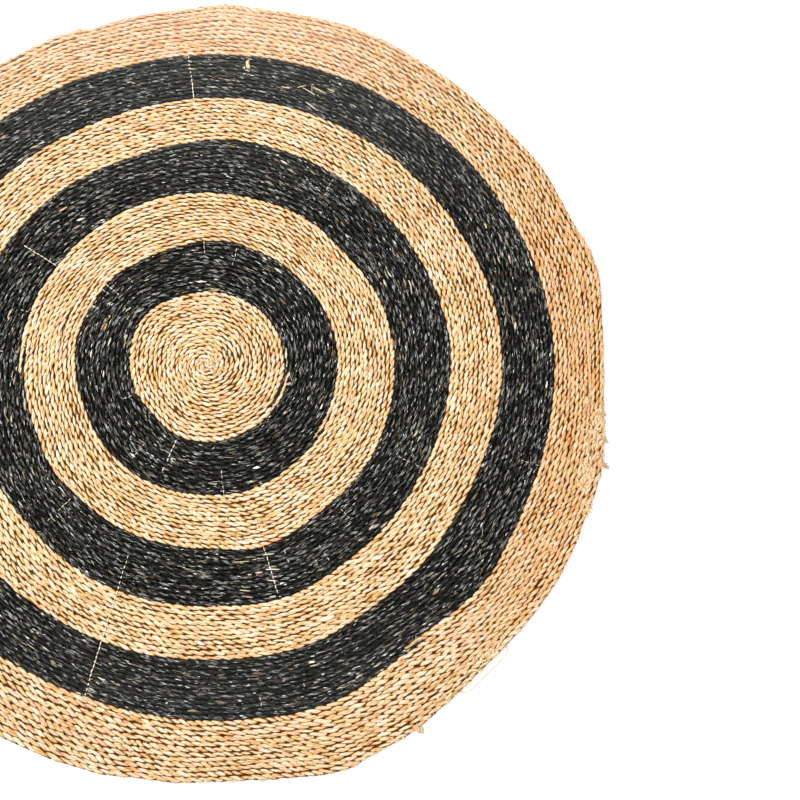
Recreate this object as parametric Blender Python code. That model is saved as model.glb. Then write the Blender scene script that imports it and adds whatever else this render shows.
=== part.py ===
"""Round rug of two-ply seagrass rope, coiled into one flat spiral.

The coil is eight lengths of rope laid end to end, natural and black in turn, and the last two
natural. Each length is one flat solid. Its top is raised in a rib for every turn of rope, and its
underside is flat. Where two lengths meet, the new rope starts as a thin tip on the inner side of
the old one, and the old one runs out as a thin tail on the outer side.
"""

import math

import bpy
from mathutils import Vector
from mathutils.geometry import tessellate_polygon

# Sizes are in millimetres and angles in degrees, anticlockwise from +X as seen from above.
CREST_HEIGHT = 6.4
VALLEY_HEIGHT = 4.4
GAP = 0.3
TIP_WIDTH = 0.6
LANE_HALF = 3.45
START_ANGLE = 5.0
STEPS = 36  # in one turn of the coil

# Rope lengths from the middle outwards. The radius is that of the length's outer border, and the
# turns are counted from the middle of the coil to where the length ends. Its tail and the next
# length's tip then take a number of steps along the coil.
ROPES = (
    # node, colour, radius, turns, tail steps
    ("natural_centre", "natural", 114.7, 16 + 32 / 36, 2),
    ("black_ring_1", "black", 193.7, 27 + 32 / 36, 2),
    ("natural_ring_1", "natural", 275.2, 40 + 17 / 36, 1),
    ("black_ring_2", "black", 358.2, 51 + 19 / 36, 1),
    ("natural_ring_2", "natural", 434.6, 62 + 20 / 36, 1),
    ("black_ring_3", "black", 513.6, 73 + 30 / 36, 1),
    ("natural_ring_3", "natural", 572.0, 81 + 35 / 36, 1),
    ("natural_rim", "natural", 600.0, 85 + 34 / 36, 1),
)

# Places where the hand-laid coil bulges outwards, or is drawn in where the reach is negative.
BULGES = (
    # angle, spread of angle, radius, spread of radius, reach
    (143.0, 24.0, 120.0, 75.0, 9.0),
    (222.0, 22.0, 115.0, 60.0, -6.0),
    (88.0, 14.0, 190.0, 40.0, 5.0),
    (168.0, 14.0, 190.0, 45.0, 5.0),
    (205.0, 16.0, 240.0, 60.0, -6.0),
    (43.0, 14.0, 270.0, 55.0, -8.0),
    (289.0, 13.0, 275.0, 75.0, 11.0),
    (222.0, 17.0, 355.0, 70.0, -9.0),
    (84.0, 14.0, 360.0, 70.0, 6.0),
    (290.0, 11.0, 410.0, 80.0, 6.0),
    (112.0, 12.0, 400.0, 80.0, -5.0),
    (12.0, 14.0, 430.0, 90.0, 5.0),
    (331.0, 12.0, 420.0, 70.0, -6.0),
    (240.0, 16.0, 500.0, 90.0, -9.0),
    (321.0, 9.0, 515.0, 40.0, 6.0),
    (108.0, 20.0, 600.0, 90.0, -11.0),
    (150.0, 18.0, 600.0, 80.0, 6.0),
    (184.0, 15.0, 600.0, 80.0, -5.0),
    (212.0, 14.0, 600.0, 80.0, 5.0),
    (291.0, 10.0, 600.0, 90.0, 17.0),
    (316.0, 9.0, 600.0, 50.0, -6.0),
    (357.0, 11.0, 600.0, 40.0, -7.0),
    (16.0, 6.0, 600.0, 45.0, 11.0),
    (35.0, 8.0, 600.0, 50.0, 6.0),
    (116.0, 7.0, 560.0, 70.0, 5.0),
    (18.0, 24.0, 515.0, 40.0, 5.0),
    (258.0, 12.0, 515.0, 40.0, -5.0),
    (306.0, 8.0, 515.0, 35.0, -6.0),
    (80.0, 16.0, 270.0, 35.0, -5.0),
    (328.0, 20.0, 270.0, 35.0, 4.0),
    (216.0, 8.0, 275.0, 35.0, 5.0),
    (138.0, 9.0, 195.0, 30.0, 4.0),
    (90.0, 4.5, 600.0, 45.0, 7.0),
    (68.0, 9.0, 600.0, 60.0, 4.5),
    (102.0, 7.0, 600.0, 45.0, 4.0),
    (294.0, 3.5, 600.0, 45.0, -5.0),
    (336.0, 7.0, 600.0, 40.0, -4.0),
    (39.0, 5.0, 600.0, 40.0, -4.0),
    (115.0, 3.0, 600.0, 45.0, 4.0),
    (263.0, 3.0, 600.0, 45.0, -3.0),
    (277.0, 13.0, 600.0, 45.0, -5.0),
)

COLOURS = {
    "natural": (0.74, 0.55, 0.33, 1.0),
    "black": (0.035, 0.035, 0.037, 1.0),
}


def lane_edge(turns):
    """Radius of the rope's inner edge, before the bulges, at a number of turns from the middle."""
    before_turns = 0.0
    before_radius = 0.0
    for _, _, radius, end_turns, _ in ROPES:
        end_radius = radius - LANE_HALF
        slope = (end_radius - before_radius) / (end_turns - before_turns)
        if turns <= end_turns:
            return before_radius + slope * (turns - before_turns)
        before_turns = end_turns
        before_radius = end_radius
    return before_radius + slope * (turns - before_turns)


def bulge(angle, radius):
    """How far the coil is pushed outwards at a place."""
    total = 0.0
    for at_angle, angle_spread, at_radius, radius_spread, reach in BULGES:
        turn = (angle - at_angle + 180.0) % 360.0 - 180.0
        across = (radius - at_radius) / radius_spread
        total += reach * math.exp(-((turn / angle_spread) ** 2) - across**2)
    return total


def place(step, radius):
    """X and Y of a point of the coil, from its step along the spiral and its radius before the bulges."""
    angle = START_ANGLE + step * 360.0 / STEPS
    out = radius + bulge(angle, radius)
    return out * math.cos(math.radians(angle)), out * math.sin(math.radians(angle))


def inner(step):
    return lane_edge(step / STEPS)


def outer(step):
    return lane_edge(step / STEPS + 1.0)


class Band:
    """One length of rope, as the top faces of its turns, the walls round them and a flat underside."""

    def __init__(self, first, last, tip_steps, tail_steps, is_centre, is_rim):
        self.first = first
        self.last = last
        self.tip_steps = tip_steps
        self.tail_steps = tail_steps
        self.is_centre = is_centre
        self.is_rim = is_rim
        self.points = []
        self.faces = []
        self.names = {}

    def joined(self, step):
        """True where the outer edge of a step is the inner edge of the band's own next turn."""
        from_step = self.first if self.is_centre else self.first + self.tip_steps + 1
        to_step = self.last + self.tail_steps if self.is_rim else self.last - 1
        return from_step <= step and step + STEPS <= to_step

    def edges(self, step):
        """Inner and outer radius of the rope at a step, with its tip, its tail and its gaps."""
        low, high = inner(step), outer(step)
        slant = high - low - 2.0 * TIP_WIDTH - GAP
        into = step - self.first
        past = step - self.last
        if past >= 0 and self.is_rim:
            high -= past / self.tail_steps * (slant + TIP_WIDTH)
        elif past >= 0:
            low += TIP_WIDTH + GAP / 2.0 + past / self.tail_steps * slant
        elif into <= self.tip_steps and not self.is_centre:
            high = low + TIP_WIDTH + GAP / 2.0 + into / self.tip_steps * slant
        if not self.joined(step):
            high -= GAP / 2.0
        if not self.joined(step - STEPS):
            low += GAP / 2.0
        return low, high

    def point(self, key, x, y, z):
        if key not in self.names:
            self.names[key] = len(self.points)
            self.points.append((x / 1000.0, y / 1000.0, z / 1000.0))
        return self.names[key]

    def inner_point(self, step):
        """The point in the valley on the inner side of the rope."""
        x, y = place(step, self.edges(step)[0])
        return self.point((step, "inner"), x, y, VALLEY_HEIGHT)

    def outer_point(self, step):
        """The point in the valley on the outer side, which joined turns share."""
        if self.joined(step):
            return self.inner_point(step + STEPS)
        x, y = place(step, self.edges(step)[1])
        return self.point((step, "outer"), x, y, VALLEY_HEIGHT)

    def crest_point(self, step):
        """The point on top of the rope, lower where the rope is thin."""
        low, high = self.edges(step)
        share = min(1.0, (high - low) / (outer(step) - inner(step) - GAP))
        x, y = place(step, (low + high) / 2.0)
        return self.point((step, "crest"), x, y, VALLEY_HEIGHT + share * (CREST_HEIGHT - VALLEY_HEIGHT))

    def build(self):
        for step in range(self.first, self.last + self.tail_steps):
            crest = self.crest_point(step)
            crest_next = self.crest_point(step + 1)
            if not (self.is_centre and step < STEPS):
                low = self.inner_point(step)
                low_next = self.inner_point(step + 1)
                self.faces.append((low, crest, crest_next))
                self.faces.append((low, crest_next, low_next))
            high = self.outer_point(step)
            high_next = self.outer_point(step + 1)
            self.faces.append((crest, high, high_next))
            self.faces.append((crest, high_next, crest_next))
        if self.is_centre:
            self.cap_middle()
        self.close()

    def cap_middle(self):
        """Fills the middle of the coil up to the crest of its first turn."""
        middle = self.point("middle", 0.0, 0.0, CREST_HEIGHT)
        for step in range(STEPS - 1):
            self.faces.append((middle, self.crest_point(step), self.crest_point(step + 1)))
        before = self.crest_point(STEPS - 1)
        start = self.crest_point(0)
        valley = self.inner_point(STEPS)
        self.faces.append((middle, before, start))
        self.faces.append((start, before, valley))
        self.faces.append((valley, before, self.crest_point(STEPS)))

    def close(self):
        """Adds the walls below the open edges of the top, and the flat underside between them."""
        open_edges = set()
        for face in self.faces:
            for a, b in zip(face, face[1:] + face[:1]):
                if (b, a) in open_edges:
                    open_edges.remove((b, a))
                else:
                    open_edges.add((a, b))
        below = {}
        for a, b in sorted(open_edges):
            x, y, _ = self.points[a]
            below[a] = len(self.points)
            self.points.append((x, y, 0.0))
        for a, b in sorted(open_edges):
            self.faces.append((b, a, below[a]))
            self.faces.append((b, below[a], below[b]))
        self.fill_underside({below[a]: below[b] for a, b in open_edges})

    def fill_underside(self, after):
        """Fills the flat underside, from a table of which border point comes after which."""
        loops = []
        while after:
            loop = [min(after)]
            while after[loop[-1]] != loop[0]:
                loop.append(after[loop[-1]])
            for point in loop:
                del after[point]
            loops.append(loop)
        corners = [point for loop in loops for point in loop]
        flat = [[Vector(self.points[point]) for point in loop] for loop in loops]
        for triangle in tessellate_polygon(flat):
            face = tuple(corners[i] for i in triangle)
            a, b, c = (Vector(self.points[point]) for point in face)
            faces_down = (b - a).cross(c - a).z < 0.0
            self.faces.append(face if faces_down else face[::-1])


def make_object(name, colour, points, faces):
    mesh = bpy.data.meshes.new(name)
    mesh.from_pydata(points, [], faces)
    material = bpy.data.materials.new(name + "_rope")
    material.use_nodes = True
    shader = material.node_tree.nodes["Principled BSDF"]
    shader.inputs["Base Color"].default_value = COLOURS[colour]
    shader.inputs["Roughness"].default_value = 0.75
    mesh.materials.append(material)
    obj = bpy.data.objects.new(name, mesh)
    bpy.context.scene.collection.objects.link(obj)
    return obj


def main():
    for old in list(bpy.data.objects):
        bpy.data.objects.remove(old, do_unlink=True)
    bands = []
    first = 0
    tip_steps = 0
    for name, colour, _, turns, tail_steps in ROPES:
        last = round(turns * STEPS)
        band = Band(first, last, tip_steps, tail_steps, name == ROPES[0][0], name == ROPES[-1][0])
        band.build()
        bands.append((name, colour, band))
        first = last
        tip_steps = tail_steps
    across = [p for _, _, band in bands for p in band.points]
    middle_x = (min(p[0] for p in across) + max(p[0] for p in across)) / 2.0
    middle_y = (min(p[1] for p in across) + max(p[1] for p in across)) / 2.0
    for name, colour, band in bands:
        points = [(x - middle_x, y - middle_y, z) for x, y, z in band.points]
        make_object(name, colour, points, band.faces)


main()
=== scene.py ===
"""Round rug of coiled two-ply seagrass rope, with natural and black rings.

The coil is one flat spiral of eight rope lengths. Each length is a closed mesh of two plies twisted
round each other, and its neighbours press against it. Pale sewing threads cross the turns, and loose
fibres stand out of them.
"""

import math

import bpy
import numpy as np
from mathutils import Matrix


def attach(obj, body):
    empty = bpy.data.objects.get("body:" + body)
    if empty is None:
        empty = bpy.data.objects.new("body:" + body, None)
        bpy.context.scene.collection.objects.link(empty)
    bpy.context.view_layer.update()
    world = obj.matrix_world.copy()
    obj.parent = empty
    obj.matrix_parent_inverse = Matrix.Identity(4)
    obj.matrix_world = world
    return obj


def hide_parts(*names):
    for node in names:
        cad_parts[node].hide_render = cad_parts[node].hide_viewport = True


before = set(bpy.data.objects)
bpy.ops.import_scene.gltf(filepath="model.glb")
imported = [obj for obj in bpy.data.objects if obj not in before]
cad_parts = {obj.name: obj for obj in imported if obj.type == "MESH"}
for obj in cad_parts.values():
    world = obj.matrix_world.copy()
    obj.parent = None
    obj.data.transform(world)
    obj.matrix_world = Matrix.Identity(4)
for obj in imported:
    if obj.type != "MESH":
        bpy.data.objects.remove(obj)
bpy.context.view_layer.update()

# Sizes are in millimetres and angles in degrees, anticlockwise from +X as seen from above.
MM = 0.001
START_ANGLE = 5.0
STEPS = 36  # in one turn of the coil, for the tails and the outline
LANE_HALF = 3.45
TIP_WIDTH = 0.6
GAP = 0.3

ROPES = (
    # node, piece, colour, radius, turns, tail steps, lay
    ("natural_centre", "centre_rope", "natural", 114.7, 16 + 32 / 36, 2.7, 25.0),
    ("black_ring_1", "black_rope_1", "black", 193.7, 27 + 32 / 36, 1.4, 30.0),
    ("natural_ring_1", "natural_rope_1", "natural", 275.2, 40 + 17 / 36, 0.9, 28.5),
    ("black_ring_2", "black_rope_2", "black", 358.2, 51 + 19 / 36, 1, 31.0),
    ("natural_ring_2", "natural_rope_2", "natural", 434.6, 62 + 20 / 36, 1, 29.0),
    ("black_ring_3", "black_rope_3", "black", 513.6, 73 + 30 / 36, 0.35, 31.0),
    ("natural_ring_3", "natural_rope_3", "natural", 572.0, 81 + 35 / 36, 1, 29.0),
    ("natural_rim", "rim_rope", "natural", 600.0, 85 + 34 / 36, 1, 29.0),
)

# Places where the hand-laid coil bulges outwards, or is drawn in where the reach is negative.
BULGES = np.array((
    # angle, spread of angle, radius, spread of radius, reach
    (143.0, 24.0, 120.0, 75.0, 9.0),
    (222.0, 22.0, 115.0, 60.0, -6.0),
    (88.0, 14.0, 190.0, 40.0, 5.0),
    (168.0, 14.0, 190.0, 45.0, 5.0),
    (205.0, 16.0, 240.0, 60.0, -6.0),
    (43.0, 14.0, 270.0, 55.0, -8.0),
    (289.0, 13.0, 275.0, 75.0, 11.0),
    (222.0, 17.0, 355.0, 70.0, -9.0),
    (84.0, 14.0, 360.0, 70.0, 6.0),
    (290.0, 11.0, 410.0, 80.0, 6.0),
    (112.0, 12.0, 400.0, 80.0, -5.0),
    (12.0, 14.0, 430.0, 90.0, 5.0),
    (331.0, 12.0, 420.0, 70.0, -6.0),
    (240.0, 16.0, 500.0, 90.0, -9.0),
    (321.0, 9.0, 515.0, 40.0, 6.0),
    (108.0, 20.0, 600.0, 90.0, -11.0),
    (150.0, 18.0, 600.0, 80.0, 6.0),
    (184.0, 15.0, 600.0, 80.0, -5.0),
    (212.0, 14.0, 600.0, 80.0, 5.0),
    (291.0, 10.0, 600.0, 90.0, 17.0),
    (316.0, 9.0, 600.0, 50.0, -6.0),
    (357.0, 11.0, 600.0, 40.0, -7.0),
    (16.0, 6.0, 600.0, 45.0, 11.0),
    (35.0, 8.0, 600.0, 50.0, 6.0),
    (116.0, 7.0, 560.0, 70.0, 5.0),
    (18.0, 24.0, 515.0, 40.0, 5.0),
    (258.0, 12.0, 515.0, 40.0, -5.0),
    (306.0, 8.0, 515.0, 35.0, -6.0),
    (80.0, 16.0, 270.0, 35.0, -5.0),
    (328.0, 20.0, 270.0, 35.0, 4.0),
    (216.0, 8.0, 275.0, 35.0, 5.0),
    (138.0, 9.0, 195.0, 30.0, 4.0),
    (90.0, 4.5, 600.0, 45.0, 7.0),
    (68.0, 9.0, 600.0, 60.0, 4.5),
    (102.0, 7.0, 600.0, 45.0, 4.0),
    (294.0, 3.5, 600.0, 45.0, -5.0),
    (336.0, 7.0, 600.0, 40.0, -4.0),
    (39.0, 5.0, 600.0, 40.0, -4.0),
    (115.0, 3.0, 600.0, 45.0, 4.0),
    (263.0, 3.0, 600.0, 45.0, -3.0),
    (277.0, 13.0, 600.0, 45.0, -5.0),
))

# Slits where two turns have parted.
SLITS = (
    # angle, spread of angle, radius, reach
    (143.0, 7.0, 84.0, 1.3),
    (163.0, 9.0, 222.0, 1.8),
    (230.0, 8.0, 202.0, 1.3),
    (49.0, 6.0, 213.0, 1.2),
    (246.0, 5.0, 413.0, 1.3),
    (339.0, 11.0, 115.5, 1.3),
    (331.0, 7.0, 191.5, 1.4),
    (178.0, 4.0, 277.5, 1.2),
    (307.0, 3.0, 512.0, 1.2),
    (356.6, 1.6, 568.0, 1.5),
)
SLIT_FADE = 16.0

# The innermost turns sit a little to the left.
CENTRE_DRIFT = np.array([-4.5, 0.5])
CENTRE_FADE = 45.0

# The rope's section, for turns that lie SECTION_PITCH apart.
SECTION_PITCH = 6.9
PLY_OFFSET = 1.6
PLY_RADIAL = 2.0
PLY_ACROSS = 2.7
FLAT_ABOVE = 0.85
FLAT_BELOW = 0.50
MIDDLE_HEIGHT = 2.8
CROWN_HEIGHT = 6.0
BASE_HALF = 0.52  # half width of the pressed lower side, as a share of the pitch
BASE_SPREAD = 5.0
BASE_BLEND = 0.15
PLY_TWIST = 1.2  # turns of a ply round itself for each turn round the other ply, the other way
RINGS_PER_LAY = 8
RING_RESERVE = 1.3  # times as many strides as even ones would need
PLY_POINTS = 4
PLY_SHIFT = 57.0  # metres between the texture places of the two plies
FINE_STEPS = 720  # in one turn, for the line that the rings are laid along
CENTRE_START = -0.42  # turns from the middle, where the innermost rope begins
LOWEST_POINT = 0.02

# Wavelength and reach of the unevenness along a rope: of its stride, its plies' thickness, its place
# sideways and its height.
STRIDE_WAVES = ((180.0, 0.1), (42.0, 0.24), (17.0, 0.18))
SWELL_WAVES = ((12.0, 0.3), (50.0, 0.12))
SWAY_WAVES = ((33.0, 0.35), (11.0, 0.35))
LIFT_WAVES = ((24.0, 0.3), (90.0, 0.25))
SWAY_HEIGHTS = (-1.6, 0.4)  # from the middle height, where the sway begins and where it is whole

# Where one rope's tail and the next one's tip share a turn: the places along it where the sharing
# sets in or ends, and the shared part of the width at its start and its change along the way.
TAIL_ONSET = 0.12
TAIL_SHARE = (0.30, 0.12)
TIP_END = (0.95, 1.1)
TIP_SHARE = (0.42, -0.12)

# Lines of sewing thread that cross the turns. The cover is the share of each turn that it spans.
STITCHES = (
    # first angle, last angle, first radius, last radius, share of the turns, cover, thickness
    (142.1, 142.2, 172.0, 208.0, 1.0, 0.7, 1.5),
    (144.8, 144.8, 184.0, 197.0, 1.0, 0.7, 1.2),
    (144.0, 144.0, 208.0, 275.0, 0.6, 0.8, 1.0),
    (147.0, 147.0, 275.0, 338.0, 1.0, 1.0, 1.9),
    (133.0, 133.0, 130.0, 190.0, 0.5, 0.7, 1.0),
    (153.2, 153.2, 182.0, 197.0, 1.0, 0.8, 1.3),
    (79.0, 79.0, 160.0, 195.0, 0.7, 0.7, 1.0),
    (94.0, 94.0, 176.0, 194.0, 0.8, 0.8, 1.2),
    (204.0, 204.0, 120.0, 132.0, 0.9, 0.8, 1.2),
    (234.0, 234.0, 138.0, 182.0, 0.7, 0.7, 1.0),
    (234.0, 234.0, 350.0, 402.0, 0.6, 0.7, 0.9),
    (249.5, 249.5, 118.0, 178.0, 0.9, 0.9, 1.5),
    (278.4, 278.4, 160.0, 236.0, 0.85, 0.8, 1.2),
    (288.0, 288.0, 245.0, 360.0, 0.9, 0.8, 1.5),
    (287.8, 287.8, 484.0, 493.0, 0.8, 0.7, 1.0),
    (227.0, 227.0, 280.0, 322.0, 0.6, 0.7, 1.0),
    (164.0, 164.0, 265.0, 312.0, 0.5, 0.6, 0.9),
    (177.0, 177.0, 262.0, 312.0, 0.5, 0.6, 0.9),
    (293.0, 293.0, 300.0, 340.0, 0.5, 0.6, 0.9),
    (302.0, 302.0, 315.0, 350.0, 0.6, 0.7, 1.0),
    (312.5, 312.5, 290.0, 330.0, 0.5, 0.6, 0.9),
    (20.0, 20.0, 150.0, 172.0, 0.7, 0.7, 1.0),
    (59.0, 59.0, 322.0, 356.0, 0.7, 0.7, 1.0),
    (334.0, 334.0, 316.0, 356.0, 0.7, 0.7, 1.0),
    (95.05, 95.3, 438.0, 470.0, 1.0, 1.0, 1.8),
    (95.3, 95.65, 470.0, 510.0, 0.95, 0.5, 1.9),
    (250.1, 250.8, 306.0, 356.0, 0.8, 0.6, 1.4),
    (250.8, 251.75, 356.0, 436.0, 1.0, 1.05, 1.5),
    (251.75, 252.12, 436.0, 480.0, 1.0, 0.85, 1.7),
    (252.12, 252.4, 480.0, 512.0, 0.9, 0.5, 1.7),
    (280.4, 280.4, 493.0, 503.0, 0.8, 0.7, 1.0),
    (343.0, 343.0, 476.0, 510.0, 0.6, 0.7, 1.0),
)

# A loop of sewing thread that hangs out of the rim.
THREAD_LOOP = (
    # angle, radius
    (316.8, 594.0),
    (316.6, 599.0),
    (316.3, 605.0),
    (315.6, 607.0),
    (314.6, 607.0),
    (312.6, 607.0),
    (310.8, 608.0),
    (309.0, 609.0),
    (308.3, 607.0),
    (307.8, 601.0),
    (307.6, 594.0),
)
LOOP_HEIGHT = 2.0
LOOP_THICKNESS = 1.7
LOOP_TONE = 0.5

# A stitch is an arch over one turn. Each stitch leans partly as the one before it does.
ARCH_POINTS = 6
ARCH_HALF = 3.75
ARCH_FOOT = 2.5  # below the crown
ARCH_RISE = 3.1
LEAN_KEPT = 0.8
LEAN_REACH = 0.3
SLANT_REACH = 0.12
STITCH_SWELL = (0.8, 1.3)
STITCH_TONE = (0.88, 1.0)
MOST_TURNS = 90

# Distance from the middle height, in millimetres, where a turn is wholly dark and where it is clear, for the
# painted shade, with a little dust, down between the turns.
PIT_SHADE_FULL = 0.9
PIT_SHADE_END = 1.68
PIT_SHADE_UNEVEN = 0.6
UNDERSIDE = (-0.75, -0.45)  # upward parts of the normals where the painted shade ends, on the lower side
SHOULDER_SHADE_RISE = 0.5  # how much higher the browner painted shade round the pits' painted shade reaches
# Painted shade along the grooves where the plies meet: its unevenness, its edge and its darkness.
GROOVE_SHADE_UNEVEN = 0.3
GROOVE_SHADE_EDGE = (0.65, 1.0)
GROOVE_SHADE = 0.8

# Places in metres where the painted glare at the top, and at the front of the black rings, the painted shade
# on the right-hand side and the warmer rim begin and end.
TOP_GLARE = (0.42, 0.58)
BLACK_TOP_GLARE = (0.24, 0.50)
BLACK_FRONT_GLARE = (-0.36, -0.48)
RIGHT_SHADE = (0.34, 0.54)
WARMER = (0.36, 0.56)

# Strands of each kind. The bow and the spread of heading are standard deviations.
STRAND_POINTS = 5
STRAND_LIFT = (-0.5, 0.4)
STRAND_DROOP = 0.9
BLADE_BOW = 0.8
LOOSE_FIBRES = 1500
LOOSE_REACH = 592.0
LOOSE_SPREAD = 13.0
LOOSE_LENGTH = (6.0, 15.0)
LOOSE_THICKNESS = (0.3, 0.6)
LOOSE_TONE = (0.25, 1.0)
FUZZ_COUNT = 320
FUZZ_INSET = 1.5
FUZZ_FAN = 75.0
FUZZ_LENGTH = (2.0, 5.0)
FUZZ_BOW = 0.6
FUZZ_THICKNESS = 0.7
FUZZ_TONE = (0.45, 0.8)
STUB_COUNT = 170
STUB_INSET = (0.5, 2.5)
STUB_SPREAD = 32.0
STUB_LENGTH = (4.0, 8.0)
STUB_THICKNESS = (1.4, 2.8)
STUB_TONE = (0.58, 0.8)

# Worn patches, where flattened blades hide the plies.
WORN = (
    # first angle, last angle, first radius, last radius, blades, spread of heading, tone
    (341.0, 354.0, 573.0, 592.0, 120, 20.0, 0.65),
    (309.0, 318.0, 582.0, 592.0, 22, 20.0, 0.65),
    (0.0, 360.0, 1.0, 13.0, 20, 42.0, 0.70),
)
WORN_LENGTH = (7.0, 13.0)
WORN_THICKNESS = (3.0, 5.4)
WORN_SHADE = 0.07

# Straight wisps that lie across the turns. The heading is measured from the outward direction.
WISPS = (
    # angle, radius, heading, length, thickness, tone
    (75.0, 472.0, -60.0, 15.0, 1.5, 0.85),
    (74.0, 474.0, -105.0, 27.0, 1.6, 0.88),
    (72.5, 482.0, -160.0, 12.0, 0.9, 0.85),
    (72.0, 480.0, -100.0, 22.0, 2.2, 0.84),
    (72.5, 452.0, -110.0, 24.0, 1.8, 0.97),
    (78.0, 467.0, -90.0, 16.0, 2.2, 0.7),
    (287.0, 297.0, 80.0, 17.0, 1.8, 0.92),
    (286.5, 318.0, 75.0, 22.0, 1.9, 0.94),
    (286.5, 334.0, 70.0, 14.0, 1.7, 0.94),
    (284.0, 300.0, 85.0, 17.0, 1.5, 0.82),
    (278.5, 298.0, 85.0, 27.0, 1.2, 0.8),
    (279.5, 339.0, 75.0, 15.0, 1.7, 0.86),
    (284.0, 319.0, 80.0, 11.0, 2.6, 0.66),
)
WISP_HEIGHT = 6.1

# Tufts and blades that stick out. The heading is measured from the outward direction.
TUFTS = (
    # angle, radius, heading, length, count, fan, thickness, tone
    (84.8, 490.0, 8.0, 15.0, 5, 12.0, 3.6, 0.8),
    (85.5, 486.0, 10.0, 8.0, 2, 14.0, 1.8, 0.8),
    (85.2, 487.0, -100.0, 8.0, 2, 20.0, 1.6, 0.82),
    (85.9, 480.0, 270.0, 8.0, 1, 10.0, 1.6, 0.95),
    (63.0, 476.0, 80.0, 16.0, 2, 14.0, 0.9, 0.85),
    (132.0, 356.0, 80.0, 15.0, 3, 16.0, 1.8, 0.6),
    (350.5, 557.0, 5.0, 19.0, 1, 1.0, 1.8, 0.88),
    (349.7, 588.0, 0.0, 14.0, 7, 22.0, 2.4, 0.5),
    (84.0, 119.0, 95.0, 20.0, 3, 10.0, 1.0, 0.85),
    (158.0, 166.0, 85.0, 16.0, 4, 14.0, 1.8, 0.52),
    (153.0, 168.0, 92.0, 13.0, 2, 12.0, 1.8, 0.62),
    (339.6, 588.0, 0.0, 18.0, 4, 22.0, 1.8, 0.66),
    (338.6, 590.0, 25.0, 17.0, 4, 30.0, 1.8, 0.72),
    (346.0, 593.0, 0.0, 19.0, 9, 22.0, 2.2, 0.5),
    (347.5, 594.0, 15.0, 9.0, 4, 40.0, 1.6, 0.72),
    (350.0, 590.0, 15.0, 9.0, 4, 40.0, 1.4, 0.72),
    (300.2, 603.0, 20.0, 21.0, 3, 8.0, 3.4, 0.6),
    (300.7, 603.0, -2.0, 18.0, 2, 10.0, 3.0, 0.64),
    (291.0, 612.0, 10.0, 9.0, 3, 30.0, 1.0, 0.7),
    (58.0, 599.0, 30.0, 12.0, 2, 20.0, 0.9, 0.7),
    (355.7, 566.5, -92.0, 14.0, 4, 4.0, 6.0, 0.66),
    (351.0, 118.5, 95.0, 11.0, 4, 18.0, 1.8, 0.82),
    (346.0, 119.0, 15.0, 8.0, 2, 15.0, 1.4, 0.92),
    (180.5, 278.0, 92.0, 12.0, 4, 14.0, 1.8, 0.85),
    (307.0, 508.0, 100.0, 8.0, 4, 50.0, 1.2, 0.6),
    (43.0, 196.0, 95.0, 14.0, 2, 12.0, 1.3, 0.8),
    (251.0, 152.0, 75.0, 10.0, 4, 60.0, 1.2, 0.95),
    (147.5, 176.0, 60.0, 9.0, 4, 60.0, 1.0, 0.95),
)
TUFT_SCATTER = (0.12, 1.0)  # standard deviations of the angle and of the radius
TUFT_REACH = (0.6, 1.0)  # share of the length
TUFT_SHADE = 0.08
TUFT_BOW = 0.12  # share of the length

# The photograph's view and light, in metres and radians. The camera's height is above the turns' crowns.
CROWN_LEVEL = 0.0055
CAMERA_PLACE = (0.1979, -0.5986, 1.9992)
CAMERA_TURN = (0.2669, -0.043, 0.0)
SENSOR_WIDTH = 36.0
LENS = 63.0
WINDOW = ("window", (-2.5, 1.58, 3.42), 1.58, 243.0)
FILL = ("fill", (1.4, -2.2, 2.4), 2.0, 60.0)
ROOM_LIGHT = 0.66
FLOOR_REACH = 8.0
FLOOR_WHITE = (0.95, 0.95, 0.95, 1.0)
FLOOR_ROUGHNESS = 0.9


def smoothstep(low, high, x):
    t = np.clip((x - low) / (high - low), 0.0, 1.0)
    return t * t * (3.0 - 2.0 * t)


def wander(rng, along, wavelength, reach):
    """A smooth random line between plus and minus reach, for distances along the rope."""
    knots = rng.uniform(-1.0, 1.0, int(along.max() / wavelength) + 3)
    place = along / wavelength
    left = place.astype(int)
    share = smoothstep(0.0, 1.0, place - left)
    return reach * (knots[left] * (1.0 - share) + knots[left + 1] * share)


def waves(rng, along, rows, start=0.0):
    """The sum of a start value and of several random lines."""
    total = start
    for wavelength, reach in rows:
        total = total + wander(rng, along, wavelength, reach)
    return total


def lane_knots():
    """Turns and inner radii where the spiral's pitch changes, with one turn more at both ends."""
    turns = [0.0]
    radii = [0.0]
    for _, _, _, radius, end_turns, _, _ in ROPES:
        turns.append(end_turns)
        radii.append(radius - LANE_HALF)
    first = (radii[1] - radii[0]) / (turns[1] - turns[0])
    last = (radii[-1] - radii[-2]) / (turns[-1] - turns[-2])
    return [-1.0, *turns, turns[-1] + 2.0], [-first, *radii, radii[-1] + 2.0 * last]


LANE_TURNS, LANE_RADII = lane_knots()


def lane_edge(turns):
    """Radius of the rope's inner edge, before the bulges, at a number of turns from the middle."""
    return np.interp(turns, LANE_TURNS, LANE_RADII)


def distance_at(turns):
    """Rough length of rope from the middle."""
    return np.pi * SECTION_PITCH * np.clip(turns, 0.0, None) ** 2


UNEVEN_RNG = np.random.default_rng(41)
UNEVEN = [
    # wavelength, reach and random numbers of the unevenness that neighbouring turns share
    (95.0, 0.7, UNEVEN_RNG.uniform(-1.0, 1.0, 2400)),
    (38.0, 0.5, UNEVEN_RNG.uniform(-1.0, 1.0, 5200)),
    (19.0, 0.25, UNEVEN_RNG.uniform(-1.0, 1.0, 10400)),
    (8.0, 0.5, UNEVEN_RNG.uniform(-1.0, 1.0, 24000)),
]


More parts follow.
